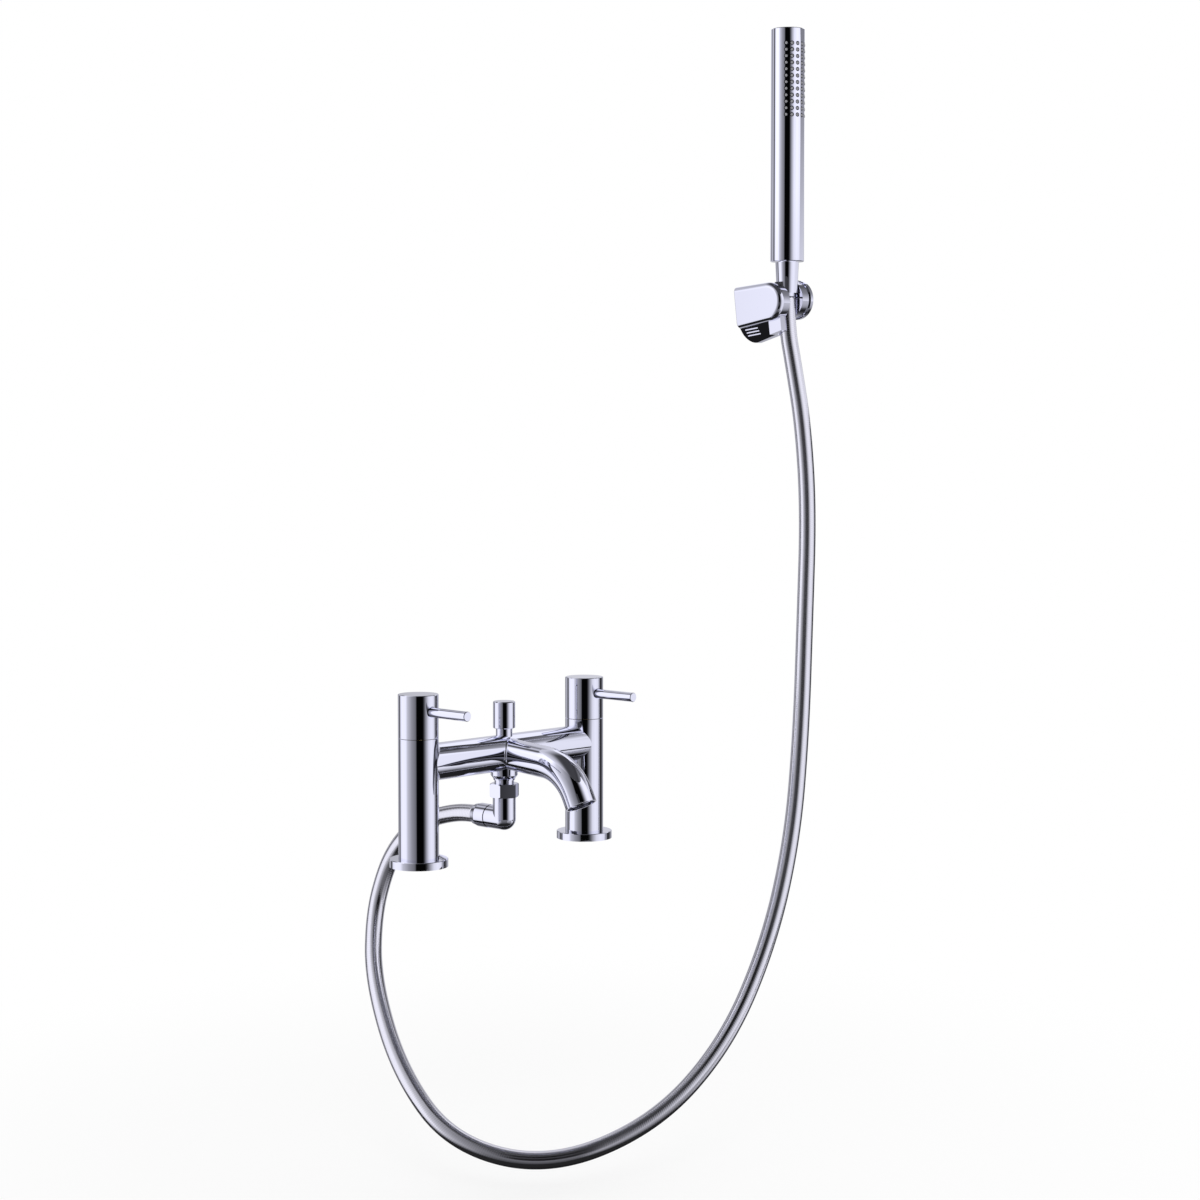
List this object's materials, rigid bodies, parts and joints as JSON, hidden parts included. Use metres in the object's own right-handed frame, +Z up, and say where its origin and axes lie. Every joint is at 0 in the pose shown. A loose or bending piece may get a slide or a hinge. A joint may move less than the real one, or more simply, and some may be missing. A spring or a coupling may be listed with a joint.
{
  "type": "bath shower mixer",
  "caption": "Two-pillar bath filler with a bridge, a bent spout, lever handles and a pull-up diverter, with a flexible hose to a slim baton handset on a wall bracket.",
  "frame": {"origin": "on the deck, midway between the axes of the two pillars", "axes": "+X from the hot pillar towards the cold one, +Z up, -Y the way the spout and the levers point; the bracket's wall is the plane x = 0.265"},
  "size_m": [0.3775, 0.2653, 0.9033],
  "materials": {
    "chrome": "polished chrome plate",
    "plated_plastic": "chrome-plated plastic",
    "brass": "machined",
    "steel": "plain",
    "rubber": "matt black",
    "nozzle_rubber": "matt pale grey",
    "ceramic": "lapped ceramic",
    "white_plastic": "satin",
    "black_plastic": "satin black",
    "hose_sleeve": "satin silver"
  },
  "bodies": {
    "mixer": {"mixer_body": "chrome", "hot_base_flange": "chrome", "hot_base_seal": "rubber", "hot_seat_seal": "rubber", "hot_fixed_disc": "ceramic", "hot_cartridge_body": "brass", "cold_base_flange": "chrome", "cold_base_seal": "rubber", "cold_seat_seal": "rubber", "cold_fixed_disc": "ceramic", "cold_cartridge_body": "brass", "aerator_housing": "chrome", "aerator_insert": "black_plastic", "diverter_guide_bush": "chrome", "diverter_o_ring": "rubber", "diverter_spring": "steel", "outlet_nipple": "chrome", "union_nut": "chrome", "union_washer": "rubber", "outlet_elbow": "chrome", "lower_hose_nut": "chrome", "lower_hose_washer": "rubber", "lower_hose_spigot": "brass", "lower_ferrule": "chrome", "shower_hose": "hose_sleeve", "bracket_holder": "plated_plastic", "socket_liner": "black_plastic", "wall_rose": "chrome", "fixing_plate": "steel", "holder_grub_screw": "steel"},
    "hot_handle": {"hot_moving_disc": "ceramic", "hot_spindle": "brass", "hot_handle_cap": "chrome", "hot_lever": "chrome", "hot_grub_screw": "steel"},
    "cold_handle": {"cold_moving_disc": "ceramic", "cold_spindle": "brass", "cold_handle_cap": "chrome", "cold_lever": "chrome", "cold_grub_screw": "steel"},
    "diverter": {"diverter_knob": "chrome", "diverter_stem": "brass", "diverter_plunger": "brass", "diverter_washer": "rubber"},
    "hose_end": {"upper_cone_nut": "chrome", "upper_ferrule": "chrome", "upper_hose_spigot": "brass", "upper_hose_washer": "rubber"},
    "handset": {"handset_tube": "chrome", "handset_end_cap": "chrome", "handset_core": "white_plastic", "handset_foot": "chrome", "spray_manifold": "white_plastic", "nozzle_mat": "nozzle_rubber"}
  },
  "joints": [
    {"name": "hot_turn", "type": "hinge", "parent": "mixer", "child": "hot_handle", "pos_m": [-0.09, 0, 0.1], "axis": [0, 0, 1], "range_deg": [-90, 0]},
    {"name": "cold_turn", "type": "hinge", "parent": "mixer", "child": "cold_handle", "pos_m": [0.09, 0, 0.1], "axis": [0, 0, 1], "range_deg": [0, 90]},
    {"name": "diverter_lift", "type": "slide", "parent": "mixer", "child": "diverter", "axis": [0, 0, 1], "range_m": [0, 0.008], "stiffness_N_per_m": 300, "springref_m": -0.003, "deforming": ["diverter_spring"]},
    {"name": "handset_lift", "type": "slide", "parent": "mixer", "child": "hose_end", "axis": [0, 0, 1], "range_m": [0, 0.08], "deforming": ["shower_hose"]},
    {"name": "handset_turn", "type": "hinge", "parent": "hose_end", "child": "handset", "pos_m": [0.245, -0.084, 0.46], "axis": [0, 0, 1], "continuous": true}
  ]
}
